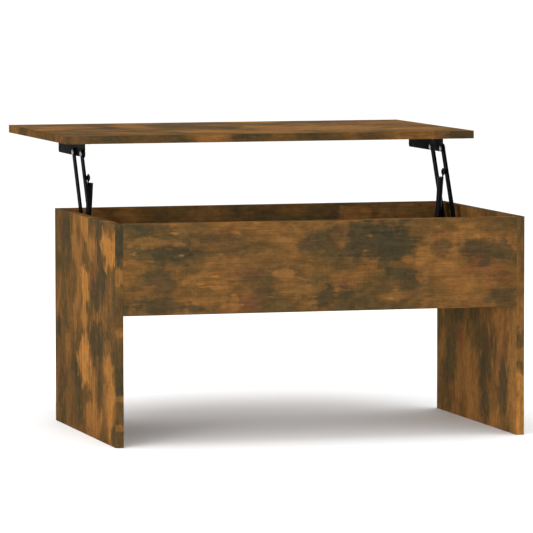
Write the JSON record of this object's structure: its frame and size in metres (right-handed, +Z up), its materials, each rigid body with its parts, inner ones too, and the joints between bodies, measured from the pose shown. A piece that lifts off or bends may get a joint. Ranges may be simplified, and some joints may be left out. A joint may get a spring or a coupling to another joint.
{
  "type": "lift top coffee table",
  "caption": "Rectangular wood-effect coffee table on two panel legs, with an open storage box under a top that lifts up and forward on sprung parallel arms.",
  "frame": {"origin": "on the floor at the centre of the base, midway between the four glide holes in its feet", "axes": "+Z up, +X along the table's length, +Y towards the user's side, where the raised top comes to"},
  "size_m": [0.8, 0.8355, 0.548],
  "materials": {
    "smoked_oak_board": "satin melamine with a smoked oak print",
    "edge_banding": "satin printed edge banding",
    "dowel_wood": "plain fluted beech",
    "cam_metal": "zinc-plated die casting",
    "zinc": "bright zinc plated",
    "black_steel": "black powder coat, semi-gloss",
    "spring_steel": "black coated spring steel"
  },
  "bodies": {
    "base": {"left_side_panel": "smoked_oak_board", "right_side_panel": "smoked_oak_board", "rear_apron": "smoked_oak_board", "front_apron": "smoked_oak_board", "bottom_panel": "smoked_oak_board", "left_side_edge_bands": "edge_banding", "right_side_edge_bands": "edge_banding", "rear_apron_edge_bands": "edge_banding", "front_apron_edge_bands": "edge_banding", "wood_dowels": "dowel_wood", "cam_bolts": "cam_metal", "cam_locks": "cam_metal", "left_base_bracket": "black_steel", "right_base_bracket": "black_steel", "base_bracket_screws": "zinc", "lower_pivot_rivets": "zinc", "lower_pivot_washers": "zinc", "spring_anchor_pins": "black_steel", "arm_stop_pins": "black_steel"},
    "left_rear_arm": {"left_rear_arm": "black_steel", "left_spring_pin": "black_steel"},
    "left_front_arm": {"left_front_arm": "black_steel"},
    "right_rear_arm": {"right_rear_arm": "black_steel", "right_spring_pin": "black_steel"},
    "right_front_arm": {"right_front_arm": "black_steel"},
    "left_spring_lower_hook": {"left_spring_lower_hook": "spring_steel"},
    "left_spring_upper_end": {"left_spring_upper_hook": "spring_steel", "left_spring_upper_plug": "spring_steel", "left_spring": "spring_steel"},
    "left_spring_lower_end": {"left_spring_lower_plug": "spring_steel"},
    "right_spring_lower_hook": {"right_spring_lower_hook": "spring_steel"},
    "right_spring_upper_end": {"right_spring_upper_hook": "spring_steel", "right_spring_upper_plug": "spring_steel", "right_spring": "spring_steel"},
    "right_spring_lower_end": {"right_spring_lower_plug": "spring_steel"},
    "top": {"top_panel": "smoked_oak_board", "top_edge_bands": "edge_banding", "left_top_bracket": "black_steel", "right_top_bracket": "black_steel", "top_bracket_screws": "zinc", "upper_pivot_rivets": "zinc", "upper_pivot_washers": "zinc"}
  },
  "joints": [
    {"name": "lift", "type": "hinge", "parent": "base", "child": "left_rear_arm", "pos_m": [-0.3565, 0.038, 0.2925], "axis": [1, 0, 0], "range_deg": [0, 95.67]},
    {"name": "left_front_arm_turn", "type": "hinge", "parent": "base", "child": "left_front_arm", "pos_m": [-0.3565, 0.1048, 0.2925], "axis": [1, 0, 0], "range_deg": [0, 95.67]},
    {"name": "right_rear_arm_turn", "type": "hinge", "parent": "base", "child": "right_rear_arm", "pos_m": [0.3565, 0.038, 0.2925], "axis": [1, 0, 0], "range_deg": [0, 95.67]},
    {"name": "right_front_arm_turn", "type": "hinge", "parent": "base", "child": "right_front_arm", "pos_m": [0.3565, 0.1048, 0.2925], "axis": [1, 0, 0], "range_deg": [0, 95.67]},
    {"name": "top_turn", "type": "hinge", "parent": "left_rear_arm", "child": "top", "pos_m": [-0.3565, 0.15228, 0.51204], "axis": [1, 0, 0], "range_deg": [-95.67, 0]},
    {"name": "left_lower_hook_turn", "type": "hinge", "parent": "base", "child": "left_spring_lower_hook", "pos_m": [-0.3455, 0.174, 0.275], "axis": [1, 0, 0], "range_deg": [0, 61.12]},
    {"name": "left_upper_hook_turn", "type": "hinge", "parent": "left_rear_arm", "child": "left_spring_upper_end", "pos_m": [-0.3455, 0.12943, 0.46813], "axis": [1, 0, 0], "range_deg": [-34.59, 0]},
    {"name": "left_spring_stretch", "type": "slide", "parent": "left_spring_upper_end", "child": "left_spring_lower_end", "axis": [0, 0.2249, -0.9744], "range_m": [0, 0.13443], "deforming": ["left_spring"]},
    {"name": "right_lower_hook_turn", "type": "hinge", "parent": "base", "child": "right_spring_lower_hook", "pos_m": [0.3455, 0.174, 0.275], "axis": [1, 0, 0], "range_deg": [0, 61.12]},
    {"name": "right_upper_hook_turn", "type": "hinge", "parent": "right_rear_arm", "child": "right_spring_upper_end", "pos_m": [0.3455, 0.12943, 0.46813], "axis": [1, 0, 0], "range_deg": [-34.59, 0]},
    {"name": "right_spring_stretch", "type": "slide", "parent": "right_spring_upper_end", "child": "right_spring_lower_end", "axis": [0, 0.2249, -0.9744], "range_m": [0, 0.13443], "deforming": ["right_spring"]}
  ],
  "couplings": [
    {"joint": "left_front_arm_turn", "follows": "lift", "ratio": 1},
    {"joint": "right_rear_arm_turn", "follows": "lift", "ratio": 1},
    {"joint": "right_front_arm_turn", "follows": "lift", "ratio": 1},
    {"joint": "top_turn", "follows": "lift", "ratio": -1},
    {"joint": "left_lower_hook_turn", "follows": "lift", "ratio": 0.63864},
    {"joint": "left_upper_hook_turn", "follows": "lift", "ratio": -0.36136},
    {"joint": "left_spring_stretch", "follows": "lift", "m_per_rad": 0.080447},
    {"joint": "right_lower_hook_turn", "follows": "lift", "ratio": 0.63864},
    {"joint": "right_upper_hook_turn", "follows": "lift", "ratio": -0.36136},
    {"joint": "right_spring_stretch", "follows": "lift", "m_per_rad": 0.080447}
  ]
}
